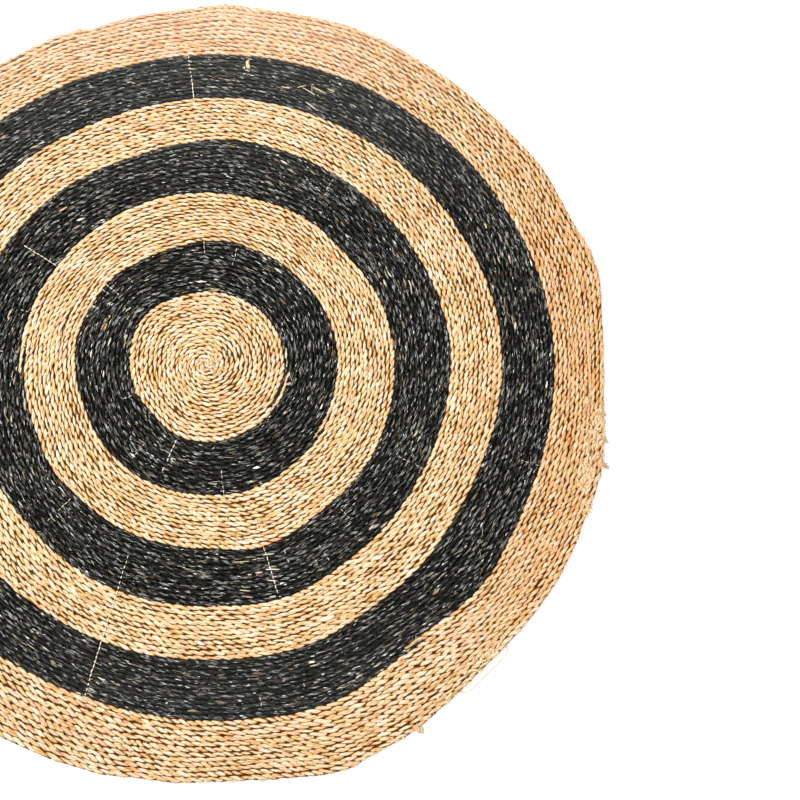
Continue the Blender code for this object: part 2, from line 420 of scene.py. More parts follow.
def rope_edge(turns):
    """The uneven inner edge of a turn, which is also the outer edge of the turn inside it."""
    distance = distance_at(turns)
    total = lane_edge(turns)
    for wavelength, reach, knots in UNEVEN:
        at = distance / wavelength
        left = at.astype(int)
        share = smoothstep(0.0, 1.0, at - left)
        total = total + reach * (knots[left] * (1.0 - share) + knots[left + 1] * share)
    return total


def bulge(angle, radius):
    """How far the coil is pushed outwards at each place."""
    total = np.zeros_like(radius)
    for at_angle, angle_spread, at_radius, radius_spread, reach in BULGES:
        turn = (angle - at_angle + 180.0) % 360.0 - 180.0
        across = (radius - at_radius) / radius_spread
        total += reach * np.exp(-((turn / angle_spread) ** 2) - across**2)
    return total


def slit(angle, radius):
    """How far the turns on both sides of the slits are pushed away from them."""
    total = np.zeros_like(radius)
    for at_angle, angle_spread, at_radius, reach in SLITS:
        turn = (angle - at_angle + 180.0) % 360.0 - 180.0
        away = radius - at_radius
        total += reach * np.sign(away) * np.exp(-((turn / angle_spread) ** 2) - np.abs(away) / SLIT_FADE)
    return total


def place(turns, radius):
    """X and Y of points of the coil, in the coil's own frame."""
    angle = START_ANGLE + turns * 360.0
    out = radius + bulge(angle, radius) + slit(angle, radius)
    at = np.stack([out * np.cos(np.radians(angle)), out * np.sin(np.radians(angle))], -1)
    return at + np.exp(-((radius / CENTRE_FADE) ** 2))[:, None] * CENTRE_DRIFT


def coil_middle():
    """Where the coil's middle lies, so that the outline's corners are centred in plan."""
    _, _, _, _, end_turns, tail_steps, _ = ROPES[-1]
    last = round(end_turns * STEPS)
    step = np.arange(last - STEPS, last + tail_steps + 1)
    low = lane_edge(step / STEPS)
    high = lane_edge(step / STEPS + 1.0)
    slant = high - low - 2.0 * TIP_WIDTH - GAP
    high = high - np.clip(step - last, 0, None) / tail_steps * (slant + TIP_WIDTH) - GAP / 2.0
    angle = START_ANGLE + step * 360.0 / STEPS
    out = high + bulge(angle, high)
    x = out * np.cos(np.radians(angle))
    y = out * np.sin(np.radians(angle))
    return -np.array([(x.min() + x.max()) / 2.0, (y.min() + y.max()) / 2.0])


MIDDLE = coil_middle()


def lane(turns, first, last, tip_steps, tail_steps, is_rim):
    """Inner and outer radius of a rope length. Its tip and its tail share a turn with their neighbour."""
    low = rope_edge(turns)
    high = rope_edge(turns + 1.0)
    past = (turns - last) * STEPS / tail_steps
    if is_rim:
        slant = high - low - TIP_WIDTH - GAP
        high = high - np.clip(past, 0.0, 1.0) * slant
    else:
        shared = smoothstep(0.0, TAIL_ONSET, past) * (TAIL_SHARE[0] + TAIL_SHARE[1] * past)
        low = low + shared * (high - low)
    if tip_steps:
        into = (turns - first) * STEPS / tip_steps
        shared = (1.0 - smoothstep(*TIP_END, into)) * (TIP_SHARE[0] + TIP_SHARE[1] * into)
        high = high - shared * (high - low)
    return low, high


class Section:
    """The outline of two plies side by side, as points of a figure of eight."""

    def __init__(self):
        groove = math.acos(-PLY_OFFSET / PLY_RADIAL)
        angles = np.linspace(-groove, groove, PLY_POINTS + 2)
        side = np.stack([PLY_RADIAL * np.cos(angles), PLY_ACROSS * np.sin(angles)], -1)
        right = side[:-1]
        left = -side[:-1]
        self.offset = np.concatenate([right, left])
        self.ply = np.repeat([0, 1], PLY_POINTS + 1)
        self.centre = np.where(self.ply == 0, PLY_OFFSET, -PLY_OFFSET)
        self.is_groove = np.tile([True] + [False] * PLY_POINTS, 2)
        self.around = np.tile(angles[:-1] / (2.0 * np.pi), 2)
        self.around_step = 2.0 * groove / (PLY_POINTS + 1) / (2.0 * np.pi)
        self.count = len(self.ply)


SECTION = Section()


def rope_path(first, last, tip_steps, tail_steps, is_centre, is_rim, lay, rng):
    """Rings along a rope length, each with its middle, outward direction, widths, twist, distance
    along the rope and the gaps beside it.
    """
    start = CENTRE_START if is_centre else first
    end = last + tail_steps / STEPS
    fine = np.linspace(start, end, int((end - start) * FINE_STEPS) + 2)
    low, high = lane(fine, first, last, tip_steps, tail_steps, is_rim)
    line = place(fine, (low + high) / 2.0)
    steps = np.linalg.norm(np.diff(line, axis=0), axis=1)
    distance = np.concatenate([[0.0], np.cumsum(steps)])
    rings = int(distance[-1] / lay * RINGS_PER_LAY * RING_RESERVE)
    index = np.arange(rings) * lay / RINGS_PER_LAY
    stride = lay / RINGS_PER_LAY * waves(rng, index, STRIDE_WAVES, 1.0)
    along = np.concatenate([[0.0], np.cumsum(stride)])
    along = along[along < distance[-1]]
    turns = np.interp(along, distance, fine)
    low, high = lane(turns, first, last, tip_steps, tail_steps, is_rim)
    angle = START_ANGLE + turns * 360.0
    centre = (low + high) / 2.0
    width = high - low + bulge(angle, high) - bulge(angle, low)
    parted = slit(angle, centre)
    gaps = np.stack([slit(angle, centre + width) - parted, parted - slit(angle, centre - width)], -1)
    middle = place(turns, centre)
    ahead = np.gradient(middle, axis=0)
    ahead /= np.linalg.norm(ahead, axis=1)[:, None]
    outward = np.stack([ahead[:, 1], -ahead[:, 0]], -1)
    twist = -2.0 * np.pi * np.arange(len(along)) / RINGS_PER_LAY + rng.uniform(0.0, 2.0 * np.pi)
    full = lane_edge(turns + 1.0) - lane_edge(turns)
    return middle + MIDDLE, outward, width, full, twist, along, np.maximum(gaps, 0.0)


def rope_points(path, rng):
    """Points of every ring of a rope."""
    middle, outward, width, full, twist, along, gaps = path
    size = width / SECTION_PITCH
    plies = [waves(rng, along, SWELL_WAVES, 1.0) for _ in range(2)]
    swell = np.stack(plies, -1)[:, SECTION.ply]
    at_x = SECTION.centre + SECTION.offset[:, 0] * swell
    at_y = SECTION.offset[:, 1] * swell
    at_x[:, SECTION.is_groove] = 0.0
    turn = twist[:, None]
    lateral = (at_x * np.cos(turn) - at_y * np.sin(turn)) * size[:, None]
    upward = (at_x * np.sin(turn) + at_y * np.cos(turn)) * size[:, None]
    upward = upward * np.where(upward > 0.0, FLAT_ABOVE, FLAT_BELOW)
    lateral = press_base(lateral, upward, width, gaps)
    slim = np.minimum(1.0, width / full)
    sway = waves(rng, along, SWAY_WAVES)
    lift = waves(rng, along, LIFT_WAVES)
    height = MIDDLE_HEIGHT + (CROWN_HEIGHT - MIDDLE_HEIGHT) * (1.0 - slim) + lift
    side = lateral + (sway * slim)[:, None] * smoothstep(*SWAY_HEIGHTS, upward)
    xy = middle[:, None, :] + side[:, :, None] * outward[:, None, :]
    z = np.maximum(upward + height[:, None], LOWEST_POINT)
    return np.concatenate([xy, z[:, :, None]], -1)


def press_base(lateral, upward, width, gaps):
    """Spreads the lower side of every ring until it meets the turns beside it."""
    for sign, gap in ((1.0, gaps[:, 0]), (-1.0, gaps[:, 1])):
        reach = np.where(upward < -BASE_BLEND, lateral * sign, 0.0)
        far = np.maximum(reach.max(axis=1), 0.1)
        factor = np.clip((BASE_HALF * width + gap / 2.0) / far, 1.0, BASE_SPREAD)
        share = smoothstep(0.0, BASE_BLEND, -upward) * (lateral * sign > 0.0)
        lateral = lateral * (1.0 + (factor[:, None] - 1.0) * share)
    return lateral


def rope_faces(rings, count):
    """Four-sided faces between the rings of a tube, with their outer sides out."""
    ring = np.arange(rings - 1)[:, None]
    point = np.arange(count)[None, :]
    after = (point + 1) % count
    near = ring * count + point
    near_after = ring * count + after
    return np.stack([near, near_after, near_after + count, near + count], -1).reshape(-1, 4)


def make_mesh(name, points, quads, caps=()):
    """A mesh from an array of points in millimetres, an array of quads and a few end faces."""
    mesh = bpy.data.meshes.new(name)
    corners = [quads.reshape(-1)] + [np.array(cap) for cap in caps]
    loops = np.concatenate(corners).astype(np.int32)
    sizes = np.concatenate([np.full(len(quads), 4), [len(cap) for cap in caps]]).astype(np.int32)
    starts = np.concatenate([[0], np.cumsum(sizes)[:-1]]).astype(np.int32)
    mesh.vertices.add(len(points))
    mesh.vertices.foreach_set("co", (points * MM).astype(np.float32).reshape(-1))
    mesh.loops.add(len(loops))
    mesh.loops.foreach_set("vertex_index", loops)
    mesh.polygons.add(len(sizes))
    mesh.polygons.foreach_set("loop_start", starts)
    mesh.update(calc_edges=True)
    mesh.validate()
    mesh.shade_smooth()
    return mesh


def add_float(mesh, name, values):
    """A named value for each point of a mesh."""
    attribute = mesh.attributes.new(name, "FLOAT", "POINT")
    attribute.data.foreach_set("value", values.astype(np.float32).reshape(-1))


def rope_corners(along, twist):
    """Distance along the rope and place round the ply's own fibres, for each corner of the faces."""
    first = np.broadcast_to(SECTION.around[None, :], (len(along) - 1, SECTION.count))
    second = first + SECTION.around_step
    ply = SECTION.ply * PLY_SHIFT
    low = along[:-1, None] * MM + ply[None, :]
    high = along[1:, None] * MM + ply[None, :]
    back = PLY_TWIST * twist[:-1, None] / (2.0 * np.pi)
    back_next = PLY_TWIST * twist[1:, None] / (2.0 * np.pi)
    u = np.stack([low, low, high, high], -1)
    v = np.stack([first + back, second + back, second + back_next, first + back_next], -1)
    return np.stack([u, v], -1).reshape(-1, 2)


def build_rope(row, first, tip_steps, material, seed):
    """One rope length, from the turn where it begins to the end of its tail."""
    _, piece, _, _, end_turns, tail_steps, lay = row
    rng = np.random.default_rng(seed)
    is_centre = row is ROPES[0]
    is_rim = row is ROPES[-1]
    path = rope_path(first, end_turns, tip_steps, tail_steps, is_centre, is_rim, lay, rng)
    points = rope_points(path, rng)
    rings = len(points)
    count = SECTION.count
    quads = rope_faces(rings, count)
    caps = (list(range(count))[::-1], list(range((rings - 1) * count, rings * count)))
    mesh = make_mesh(piece, points.reshape(-1, 3), quads, caps)
    add_float(mesh, "groove", np.tile(SECTION.is_groove, rings))
    corners = rope_corners(path[5], path[4])
    ends = np.zeros((2 * count, 2))
    uv = mesh.uv_layers.new(name="rope")
    uv.data.foreach_set("uv", np.concatenate([corners, ends]).astype(np.float32).reshape(-1))
    mark_grooves(mesh, count)
    mesh.materials.append(material)
    obj = bpy.data.objects.new(piece, mesh)
    bpy.context.scene.collection.objects.link(obj)
    return obj


def mark_grooves(mesh, count):
    """Makes the two lines where the plies meet sharp."""
    edges = np.zeros(len(mesh.edges) * 2, np.int32)
    mesh.edges.foreach_get("vertices", edges)
    edges = edges.reshape(-1, 2)
    at = edges % count
    sharp = SECTION.is_groove[at[:, 0]] & (at[:, 0] == at[:, 1])
    mesh.attributes.new("sharp_edge", "BOOLEAN", "EDGE").data.foreach_set("value", sharp)


class Strands:
    """Thin three-sided flattish strands in one mesh. Each has a tone, from 0, dark, to 1, pale."""

    SIDES = 3
    FLATNESS = 0.55
    FIRST_SIDE = 0.25  # how far the first side is turned, in sides
    TIP_ANGLE = 0.25  # radians left out at each end of the half wave that shapes a strand
    SMALLEST = 1e-6
    LOWEST = 0.1

    def __init__(self):
        self.points = []
        self.quads = []
        self.caps = []
        self.tones = []
        self.total = 0

    def add(self, line, thickness, tone):
        """A strand along a line of points, whose ends come to a near point."""
        line = np.asarray(line, float)
        ahead = np.gradient(line, axis=0)
        ahead /= np.maximum(np.linalg.norm(ahead, axis=1), self.SMALLEST)[:, None]
        aside = np.cross(ahead, [0.0, 0.0, 1.0])
        aside /= np.maximum(np.linalg.norm(aside, axis=1), self.SMALLEST)[:, None]
        over = np.cross(aside, ahead) * self.FLATNESS
        wave = np.linspace(self.TIP_ANGLE, np.pi - self.TIP_ANGLE, len(line))
        taper = np.sin(wave) ** 0.5 * thickness / 2.0
        for side in range(self.SIDES):
            turn = 2.0 * np.pi * (side + self.FIRST_SIDE) / self.SIDES
            rim = line + taper[:, None] * (np.cos(turn) * aside + np.sin(turn) * over)
            self.points.append(rim)
        count = len(line)
        for i in range(count - 1):
            for side in range(self.SIDES):
                a = self.total + side * count + i
                b = self.total + (side + 1) % self.SIDES * count + i
                self.quads.append((a, a + 1, b + 1, b))
        starts = [self.total + side * count for side in range(self.SIDES)]
        self.caps.append(starts)
        self.caps.append([start + count - 1 for start in starts[::-1]])
        self.tones.append(np.full(count * self.SIDES, tone))
        self.total += count * self.SIDES

    def build(self, name, material):
        points = np.concatenate(self.points)
        points[:, 2] = np.maximum(points[:, 2], self.LOWEST)
        mesh = make_mesh(name, points, np.array(self.quads), self.caps)
        add_float(mesh, "tone", np.concatenate(self.tones))
        mesh.materials.append(material)
        obj = bpy.data.objects.new(name, mesh)
        bpy.context.scene.collection.objects.link(obj)
        return obj


def on_coil(angle, radius):
    """X and Y at an angle and a radius of the finished rug, in millimetres."""
    angle = math.radians(angle)
    return np.array([radius * math.cos(angle), radius * math.sin(angle)]) + MIDDLE


def turns_at(angle, first_radius, last_radius):
    """The turns of rope that a radial line crosses, each as its turns from the middle and its width."""
    crossed = []
    for whole in range(MOST_TURNS):
        turns = whole + (angle - START_ANGLE) % 360.0 / 360.0
        low, high = rope_edge(np.array([turns, turns + 1.0]))
        middle = (low + high) / 2.0
        out = middle + float(bulge(np.array([angle]), np.array([middle]))[0])
        if first_radius <= out <= last_radius:
            crossed.append((out, high - low))
    return crossed


def build_threads(material):
    """The sewing threads, as a short arch over each turn where they show."""
    rng = np.random.default_rng(7)
    strands = Strands()
    for first_angle, last_angle, first_radius, last_radius, share, cover, thickness in STITCHES:
        lean = 0.0
        for radius, width in turns_at((first_angle + last_angle) / 2.0, first_radius, last_radius):
            angle = np.interp(radius, (first_radius, last_radius), (first_angle, last_angle))
            lean = LEAN_KEPT * lean + rng.uniform(-LEAN_REACH, LEAN_REACH)
            if rng.uniform() > share:
                continue
            across = np.linspace(-0.5, 0.5, ARCH_POINTS) * width * cover
            bend = np.sqrt(np.clip(1.0 - (across / ARCH_HALF) ** 2, 0.0, 1.0))
            arch = CROWN_HEIGHT - ARCH_FOOT + ARCH_RISE * bend
            own_lean = rng.uniform(-LEAN_REACH, LEAN_REACH)
            aside = lean + own_lean + across * rng.uniform(-SLANT_REACH, SLANT_REACH)
            direction = np.radians(angle)
            out = np.array([math.cos(direction), math.sin(direction)])
            along = np.array([-math.sin(direction), math.cos(direction)])
            xy = on_coil(angle, radius) + across[:, None] * out + aside[:, None] * along
            thick = thickness * rng.uniform(*STITCH_SWELL)
            strands.add(np.column_stack([xy, arch]), thick, rng.uniform(*STITCH_TONE))
    loop = np.array([on_coil(angle, radius) for angle, radius in THREAD_LOOP])
    strands.add(np.column_stack([loop, np.full(len(loop), LOOP_HEIGHT)]), LOOP_THICKNESS, LOOP_TONE)
    return strands.build("sewing_threads", material)


def build_fibres(material):
    """Loose fibres on the turns, tufts where blades end, and the fuzz of the outer edge."""
    rng = np.random.default_rng(19)
    strands = Strands()
    lay_loose(strands, rng)
    lay_edge(strands, rng)
    lay_worn(strands, rng)
    lay_wisps(strands)
    lay_tufts(strands, rng)
    return strands.build("loose_fibres", material)


def lay_loose(strands, rng):
    for _ in range(LOOSE_FIBRES):
        radius = LOOSE_REACH * math.sqrt(rng.uniform(0.001, 1.0))
        angle = rng.uniform(0.0, 360.0)
        heading = angle + 90.0 + rng.normal(0.0, LOOSE_SPREAD)
        length = rng.uniform(*LOOSE_LENGTH)
        bow = rng.normal(0.0, BLADE_BOW)
        thickness = rng.uniform(*LOOSE_THICKNESS)
        tone = rng.uniform(*LOOSE_TONE)
        lay_strand(strands, angle, radius, heading, length, bow, thickness, tone, rng)


def lay_edge(strands, rng):
    """The fuzz that stands out of the rim, and the blades' stubs along it."""
    for _ in range(FUZZ_COUNT):
        angle = rng.uniform(0.0, 360.0)
        radius = edge_radius(angle) - FUZZ_INSET
        heading = angle + rng.uniform(-FUZZ_FAN, FUZZ_FAN)
        length = rng.uniform(*FUZZ_LENGTH)
        bow = rng.normal(0.0, FUZZ_BOW)
        tone = rng.uniform(*FUZZ_TONE)
        lay_strand(strands, angle, radius, heading, length, bow, FUZZ_THICKNESS, tone, rng)
    for _ in range(STUB_COUNT):
        angle = rng.uniform(0.0, 360.0)
        radius = edge_radius(angle) - rng.uniform(*STUB_INSET)
        heading = angle + 90.0 + rng.normal(0.0, STUB_SPREAD)
        length = rng.uniform(*STUB_LENGTH)
        bow = rng.normal(0.0, BLADE_BOW)
        thickness = rng.uniform(*STUB_THICKNESS)
        tone = rng.uniform(*STUB_TONE)
        lay_strand(strands, angle, radius, heading, length, bow, thickness, tone, rng)


def lay_worn(strands, rng):
    for first_angle, last_angle, first_radius, last_radius, blades, spread, tone in WORN:
        for _ in range(blades):
            angle = rng.uniform(first_angle, last_angle)
            radius = rng.uniform(first_radius, last_radius)
            heading = angle + 90.0 + rng.normal(0.0, spread)
            length = rng.uniform(*WORN_LENGTH)
            bow = rng.normal(0.0, BLADE_BOW)
            shade = tone + rng.uniform(-WORN_SHADE, WORN_SHADE)
            thickness = rng.uniform(*WORN_THICKNESS)
            lay_strand(strands, angle, radius, heading, length, bow, thickness, shade, rng)


def lay_wisps(strands):
    for angle, radius, heading, length, thickness, tone in WISPS:
        share = np.linspace(0.0, 1.0, STRAND_POINTS)[:, None]
        turn = math.radians(angle + heading)
        xy = on_coil(angle, radius) + share * length * np.array([math.cos(turn), math.sin(turn)])
        strands.add(np.column_stack([xy, np.full(STRAND_POINTS, WISP_HEIGHT)]), thickness, tone)


def lay_tufts(strands, rng):
    for angle, radius, heading, length, count, fan, thickness, tone in TUFTS:
        for _ in range(count):
            at_angle = angle + rng.normal(0.0, TUFT_SCATTER[0])
            at_radius = radius + rng.normal(0.0, TUFT_SCATTER[1])
            turn = angle + heading + rng.uniform(-fan, fan)
            reach = length * rng.uniform(*TUFT_REACH)
            shade = float(np.clip(tone + rng.normal(0.0, TUFT_SHADE), 0.0, 1.0))
            bow = rng.normal(0.0, TUFT_BOW) * reach
            lay_strand(strands, at_angle, at_radius, turn, reach, bow, thickness, shade, rng)


def edge_radius(angle):
    """The rug's outer radius at an angle."""
    rim = (angle - START_ANGLE) % 360.0 / 360.0
    turns = math.floor(ROPES[-1][4] - rim) + rim
    edge = float(rope_edge(np.array([turns + 1.0]))[0])
    return edge + float(bulge(np.array([angle]), np.array([edge]))[0])


def lay_strand(strands, angle, radius, heading, length, bow, thickness, tone, rng):
    """A strand that lies on the turns, from a place on the coil towards a heading."""
    share = np.linspace(0.0, 1.0, STRAND_POINTS)
    heading = math.radians(heading)
    along = np.array([math.cos(heading), math.sin(heading)])
    aside = np.array([-along[1], along[0]])
    xy = on_coil(angle, radius) + share[:, None] * length * along
    xy = xy + (bow * np.sin(math.pi * share))[:, None] * aside
    rise = CROWN_HEIGHT + rng.uniform(*STRAND_LIFT) - STRAND_DROOP * (2.0 * share - 1.0) ** 2
    strands.add(np.column_stack([xy, rise]), thickness, tone)


class Shader:
    """A material's nodes, added and linked one after another."""

    def __init__(self, name):
        self.material = bpy.data.materials.new(name)
        self.material.use_nodes = True
        self.tree = self.material.node_tree
        self.principled = self.tree.nodes["Principled BSDF"]

    def node(self, kind, settings=None, **inputs):
        node = self.tree.nodes.new("ShaderNode" + kind)
        for key, value in (settings or {}).items():
            setattr(node, key, value)
        for key, value in inputs.items():
            self.feed(node.inputs[key.replace("_", " ")], value)
        return node

    def feed(self, socket, value):
        if isinstance(value, bpy.types.NodeSocket):
            self.tree.links.new(value, socket)
        else:
            socket.default_value = value

    def math(self, operation, a, b=0.0):
        node = self.tree.nodes.new("ShaderNodeMath")
        node.operation = operation
        self.feed(node.inputs[0], a)
        self.feed(node.inputs[1], b)
        return node.outputs[0]

    def spread(self, value, from_low, from_high, to_low=0.0, to_high=1.0):
        """Maps a range of a value onto another, and holds it there."""
        node = self.node("MapRange")
        self.feed(node.inputs["Value"], value)
        self.feed(node.inputs["From Min"], from_low)
        self.feed(node.inputs["From Max"], from_high)
        self.feed(node.inputs["To Min"], to_low)
        self.feed(node.inputs["To Max"], to_high)
        return node.outputs["Result"]

    def tint(self, colour, tint):
        """A colour multiplied by another."""
        return self.mix(1.0, colour, tint, "MULTIPLY")

    def mix(self, share, a, b, blend="MIX"):
        node = self.tree.nodes.new("ShaderNodeMix")
        node.data_type = "RGBA"
        node.blend_type = blend
        self.feed(node.inputs[0], share)
        self.feed(node.inputs[6], a)
        self.feed(node.inputs[7], b)
        return node.outputs[2]

    def ramp(self, value, stops):
        node = self.tree.nodes.new("ShaderNodeValToRGB")
        self.feed(node.inputs[0], value)
        elements = node.color_ramp.elements
        for place_on_ramp, colour in stops[1:-1]:
            elements.new(place_on_ramp).color = (*colour, 1.0)
        elements[0].position, elements[0].color = stops[0][0], (*stops[0][1], 1.0)
        elements[-1].position, elements[-1].color = stops[-1][0], (*stops[-1][1], 1.0)
        return node.outputs[0]

    def rope_place(self, along_scale, around_scale, shift=0.0):
        """Texture coordinates that follow a ply's fibres, stretched along them."""
        uv = self.node("UVMap", {"uv_map": "rope"}).outputs[0]
        stretch = self.node("Mapping", Vector=uv)
        stretch.inputs["Location"].default_value = (shift, 0.0, 0.0)
        stretch.inputs["Scale"].default_value = (along_scale, around_scale, 1.0)
        return stretch.outputs[0]

    def noise(self, vector, scale=1.0, detail=2.0, roughness=0.5, dimensions="2D"):
        node = self.node("TexNoise", {"noise_dimensions": dimensions}, Vector=vector, Scale=scale)
        node.inputs["Detail"].default_value = detail
        node.inputs["Roughness"].default_value = roughness
        return node.outputs[0]

    def cells(self, vector):
        """A random colour for each cell of a two-dimensional pattern."""
        node = self.node("TexVoronoi", {"voronoi_dimensions": "2D"}, Vector=vector, Scale=1.0)
        node.inputs["Randomness"].default_value = 1.0
        return self.node("SeparateColor", Color=node.outputs["Color"])

    def surface(self, colour, relief, roughness, strength, depth):
        """The last links of a material. Its roughness and its bumps follow the same relief."""
        self.feed(self.principled.inputs["Base Color"], colour)
        self.feed(self.principled.inputs["Roughness"], self.spread(relief, *roughness))
        bump = self.node("Bump", Strength=strength, Distance=depth, Height=relief)
        self.feed(self.principled.inputs["Normal"], bump.outputs[0])
        return self.material


# Texture scales along and around a ply, some with a shift. Each share is mapped from a range of a
# pattern onto a range of its own.
FINE_FIBRES = (160.0, 20.0, 3.0)
LINE_WEIGHTS = (0.62, 0.38)
# Patches that make the painted shade between the turns uneven.
PIT_SHADE_PATCHES = (60.0, 2.0, 5.0)


def fibre_lines(shader, along, around):
    """Streaks and finer fibres along the plies, from 0 to 1."""
    streak = shader.noise(shader.rope_place(along, around), detail=3.0, roughness=0.6)
    fibre = shader.noise(shader.rope_place(*FINE_FIBRES), detail=2.0, roughness=0.7)
    coarse = shader.math("MULTIPLY", streak, LINE_WEIGHTS[0])
    return shader.math("ADD", coarse, shader.math("MULTIPLY", fibre, LINE_WEIGHTS[1]))


def object_height(shader):
    """Height above the floor in millimetres, at each point of a piece."""
    split = shader.node("SeparateXYZ", Vector=shader.node("TexCoord").outputs["Object"])
    return shader.math("DIVIDE", split.outputs[2], MM)


def painted_pit_shade(shader, height, rise=0.0):
    """How much painted shade a point gets, for its place down between the turns, where it also stands for a
    little dust, and in the groove between the plies.
    """
    patches = shader.noise(shader.rope_place(*PIT_SHADE_PATCHES))
    uneven = shader.spread(patches, 0.3, 0.7, -PIT_SHADE_UNEVEN, PIT_SHADE_UNEVEN)
    from_middle = shader.math("ABSOLUTE", shader.math("SUBTRACT", height, MIDDLE_HEIGHT))
    pit_shading = shader.spread(shader.math("ADD", from_middle, uneven), PIT_SHADE_FULL + rise, PIT_SHADE_END + rise, 1.0, 0.0)
    normal = shader.node("SeparateXYZ", Vector=shader.node("TexCoord").outputs["Normal"])
    pit_shading = shader.math("MULTIPLY", pit_shading, shader.spread(normal.outputs[2], *UNDERSIDE))
    # Painted shade along the groove where the plies meet.
    groove = shader.node("Attribute", {"attribute_name": "groove"}).outputs["Fac"]
    uneven_groove = shader.math("SUBTRACT", groove, shader.math("MULTIPLY", uneven, GROOVE_SHADE_UNEVEN))
    line = shader.spread(uneven_groove, *GROOVE_SHADE_EDGE, 0.0, GROOVE_SHADE)
    return shader.math("MAXIMUM", pit_shading, line)


def outer_masks(shader):
    """Shares of the painted glare at the rug's top, of the painted shade on its right-hand side and of its
    warmer outer rings.
    """
    at = shader.node("TexCoord").outputs["Object"]
    split = shader.node("SeparateXYZ", Vector=at)
    top_glare = shader.spread(split.outputs[1], *TOP_GLARE)
    shade = shader.spread(split.outputs[0], *RIGHT_SHADE)
    radius = shader.node("VectorMath", {"operation": "LENGTH"}, Vector=at).outputs["Value"]
    return top_glare, shade, shader.spread(radius, *WARMER)


NATURAL_BLADES = (58.0, 3.2)
NATURAL_LINES = (76.0, 7.5)
NATURAL_PALETTE = (
    (0.0, (0.54, 0.30, 0.09)),
    (0.12, (0.68, 0.46, 0.205)),
    (0.30, (0.72, 0.53, 0.305)),
    (0.55, (0.735, 0.585, 0.40)),
    (0.80, (0.77, 0.655, 0.485)),
    (1.0, (0.81, 0.73, 0.60)),
)
BATCHES = (5.0, 0.3, 9.0)
BATCH_SHARE = (0.45, 0.75, 0.0, 0.5)
BATCH_COLOUR = (0.71, 0.49, 0.25, 1.0)
PINK_SHARE = (0.80, 0.95, 0.0, 0.8)
PINK_COLOUR = (0.74, 0.41, 0.25, 1.0)
OLIVE_SHARE = (0.84, 1.0, 0.0, 0.6)
OLIVE_COLOUR = (0.64, 0.52, 0.20, 1.0)
DARK_LINE_SHARE = (0.38, 0.50, 1.0, 0.0)
DARK_LINE_TINT = (0.66, 0.48, 0.20, 1.0)
GLOW_SHARE = (0.52, 0.66, 0.0, 0.42)
GLOW_COLOUR = (0.85, 0.765, 0.65, 1.0)
WARM_TINT = (0.94, 0.90, 0.90, 1.0)
# Painted shade on the right-hand side.
RIGHT_SHADE_TINT = (0.96, 0.86, 0.75, 1.0)
# Painted shade, with a little dust, down between the turns and in the grooves.
PIT_SHADE_TINT = (0.165, 0.065, 0.0, 1.0)
# Paler painted shade in the pits under the painted glare at the top.
GLARE_PIT_SHADE_SHARE = 0.35
GLARE_PIT_SHADE = (0.60, 0.36, 0.20, 1.0)
# Browner painted shade round the pits.
SHOULDER_SHADE_TINT = (0.90, 0.78, 0.60, 1.0)
# Painted glare at the top: a paler, hazier colour.
TOP_GLARE_SHARE = 0.3
TOP_GLARE_COLOUR = (0.80, 0.48, 0.36, 1.0)
NATURAL_ROUGHNESS = (0.3, 0.7, 0.8, 0.55)
NATURAL_GLOSS = 0.06
BUMP_DEPTH = 0.0008  # metres


def natural_material():
    shader = Shader("natural_seagrass")
    blades = shader.cells(shader.rope_place(*NATURAL_BLADES))
    colour = shader.ramp(blades.outputs[0], NATURAL_PALETTE)
    batch = shader.noise(shader.rope_place(*BATCHES), detail=2.0)
    colour = shader.mix(shader.spread(batch, *BATCH_SHARE), colour, BATCH_COLOUR)
    colour = shader.mix(shader.spread(blades.outputs[1], *PINK_SHARE), colour, PINK_COLOUR)
    colour = shader.mix(shader.spread(blades.outputs[2], *OLIVE_SHARE), colour, OLIVE_COLOUR)
    lines = fibre_lines(shader, *NATURAL_LINES)
    dark = shader.tint(colour, DARK_LINE_TINT)
    colour = shader.mix(shader.spread(lines, *DARK_LINE_SHARE), colour, dark)
    colour = shader.mix(shader.spread(lines, *GLOW_SHARE), colour, GLOW_COLOUR)
    top_glare, shade, outer = outer_masks(shader)
    # Warmer outer rings, and painted shade on the right-hand side.
    colour = shader.mix(outer, colour, shader.tint(colour, WARM_TINT))
    colour = shader.mix(shade, colour, shader.tint(colour, RIGHT_SHADE_TINT))
    # Painted shade for the pits and the grooves.
    pit_shade = shader.tint(colour, PIT_SHADE_TINT)
    # The pits' painted shade is paler under the painted glare at the top.
    pit_shade = shader.mix(shader.math("MULTIPLY", top_glare, GLARE_PIT_SHADE_SHARE), pit_shade, GLARE_PIT_SHADE)
    height = object_height(shader)
    # Browner painted shade round the pits, then the deep painted shade in them.
    shoulder_shade = shader.tint(colour, SHOULDER_SHADE_TINT)
    colour = shader.mix(painted_pit_shade(shader, height, SHOULDER_SHADE_RISE), colour, shoulder_shade)
    colour = shader.mix(painted_pit_shade(shader, height), colour, pit_shade)
    # Painted glare over the top of the rug.
    colour = shader.mix(shader.math("MULTIPLY", top_glare, TOP_GLARE_SHARE), colour, TOP_GLARE_COLOUR)
    shader.principled.inputs["Specular IOR Level"].default_value = NATURAL_GLOSS
    return shader.surface(colour, lines, NATURAL_ROUGHNESS, 0.6, BUMP_DEPTH)


BLACK_BLADES = (52.0, 3.0)
BLACK_LINES = (56.0, 5.4)
HIGHLIGHT_CROWNS = (4.2, 6.0)  # millimetres: heights where the painted highlight on the plies' crowns grows
# Weights of the painted sheen, from the fibre streaks, the crowns and the blades.
LINE_PAINTED_SHEEN = 1.25
CROWN_PAINTED_SHEEN = 0.14
BLADE_PAINTED_SHEEN = 0.13
